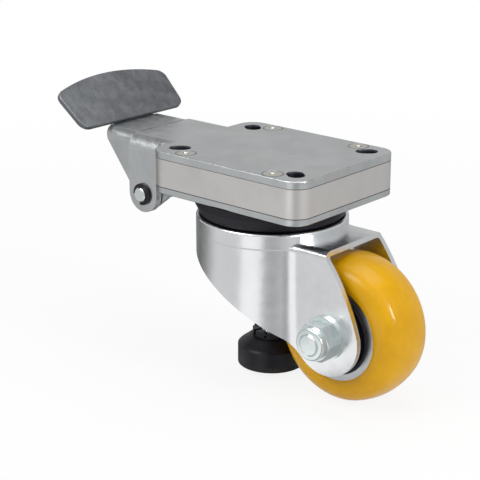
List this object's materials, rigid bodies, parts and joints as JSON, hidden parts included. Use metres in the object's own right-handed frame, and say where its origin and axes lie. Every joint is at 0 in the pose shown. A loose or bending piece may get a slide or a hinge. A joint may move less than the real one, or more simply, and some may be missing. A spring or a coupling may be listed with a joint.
{
  "type": "levelling castor",
  "caption": "Swivel plate castor with a yellow crowned wheel, pressed fork and a tilted foot pedal that lowers a round levelling foot through the king pin.",
  "frame": {"origin": "centre of the flat mounting face of the top plate, on the swivel axis", "axes": "+Z out of the mounting face, along the swivel axis; +X from the pedal towards the wheel; +Y to the side of the axle bolt's head"},
  "size_m": [0.226, 0.086, 0.15],
  "materials": {
    "zinc_plate": "pressed steel sheet, bright zinc plated",
    "rivet_steel": "flush rivet heads under zinc plate",
    "satin_aluminium": "satin milled aluminium",
    "core_aluminium": "turned aluminium",
    "bright_zinc": "turned steel, blue-white zinc",
    "bearing_steel": "ground and polished",
    "spring_steel": "oiled spring steel",
    "black_clip": "black phosphated spring steel",
    "black_seal": "satin black moulding",
    "pedal_grey": "dark brushed steel",
    "black_plastic": "satin black nylon",
    "sole_rubber": "matt black rubber",
    "bush_bronze": "sintered bronze",
    "cage_nylon": "natural nylon",
    "yellow_tread": "glossy amber-yellow polyurethane"
  },
  "bodies": {
    "head": {"top_plate": "zinc_plate", "spacer_block": "satin_aluminium", "bottom_plate": "zinc_plate", "plate_rivet_1": "rivet_steel", "plate_rivet_2": "rivet_steel", "plate_rivet_3": "rivet_steel", "plate_rivet_4": "rivet_steel", "king_pin": "bright_zinc", "spindle_bush": "bush_bronze", "upper_race": "bearing_steel", "thrust_ring": "cage_nylon", "king_washer": "bright_zinc", "king_nut": "bright_zinc", "seal_ring": "black_seal", "pivot_pin": "bright_zinc", "pivot_clip_1": "black_clip", "pivot_clip_2": "black_clip"},
    "pedal": {"pedal_lever": "zinc_plate", "pedal_plate": "pedal_grey", "pivot_sleeve": "bright_zinc"},
    "cam": {"cam_bar": "bright_zinc", "cross_pin": "bright_zinc"},
    "spindle": {"spindle": "bright_zinc", "roller_pin": "bearing_steel", "return_spring": "spring_steel"},
    "roller": {"cam_roller": "bearing_steel"},
    "foot": {"foot_socket": "black_plastic", "foot_sole": "sole_rubber"},
    "fork": {"fork": "zinc_plate", "fork_race": "bearing_steel", "axle_bolt": "bright_zinc", "axle_nut": "bright_zinc", "nut_insert": "cage_nylon", "axle_washer_1": "bright_zinc", "axle_washer_2": "bright_zinc", "axle_sleeve": "bearing_steel"},
    "swivel_bearing": {"swivel_balls": "bearing_steel", "ball_cage": "cage_nylon"},
    "wheel": {"tread": "yellow_tread", "wheel_core": "core_aluminium", "race_sleeve": "bearing_steel", "bearing_cover_1": "black_plastic", "bearing_cover_2": "black_plastic"},
    "wheel_bearing": {"needle_rollers": "bearing_steel", "needle_cage": "cage_nylon"}
  },
  "joints": [
    {"name": "pedal_swing", "type": "hinge", "parent": "head", "child": "pedal", "pos_m": [-0.071, 0, -0.0325], "axis": [0, -1, 0], "range_deg": [0, 37]},
    {"name": "cam_slide", "type": "slide", "parent": "head", "child": "cam", "axis": [-1, 0, 0], "range_m": [0, 0.01339]},
    {"name": "foot_drop", "type": "slide", "parent": "head", "child": "spindle", "axis": [0, 0, -1], "range_m": [0, 0.00801], "stiffness_N_per_m": 1500, "springref_m": -0.012, "deforming": ["return_spring"]},
    {"name": "roller_turn", "type": "hinge", "parent": "spindle", "child": "roller", "pos_m": [0, 0, -0.01228], "axis": [0, -1, 0], "range_deg": [0, 223.8]},
    {"name": "foot_tilt", "type": "hinge", "parent": "spindle", "child": "foot", "pos_m": [0, 0, -0.108], "axis": [0, 1, 0], "range_deg": [-6, 6]},
    {"name": "swivel", "type": "hinge", "parent": "head", "child": "fork", "pos_m": [0, 0, -0.0395], "axis": [0, 0, 1], "continuous": true},
    {"name": "swivel_cage_turn", "type": "hinge", "parent": "head", "child": "swivel_bearing", "pos_m": [0, 0, -0.0315], "axis": [0, 0, 1], "continuous": true},
    {"name": "wheel_spin", "type": "hinge", "parent": "fork", "child": "wheel", "pos_m": [0.056, 0, -0.086], "axis": [0, 1, 0], "continuous": true},
    {"name": "needle_cage_turn", "type": "hinge", "parent": "fork", "child": "wheel_bearing", "pos_m": [0.056, 0, -0.086], "axis": [0, 1, 0], "continuous": true}
  ],
  "couplings": [
    {"joint": "cam_slide", "follows": "pedal_swing", "m_per_rad": 0.020725},
    {"joint": "foot_drop", "follows": "pedal_swing", "m_per_rad": 0.012388},
    {"joint": "roller_turn", "follows": "pedal_swing", "ratio": 6.0364},
    {"joint": "swivel_cage_turn", "follows": "swivel", "ratio": 0.5},
    {"joint": "needle_cage_turn", "follows": "wheel_spin", "ratio": 0.5866}
  ]
}
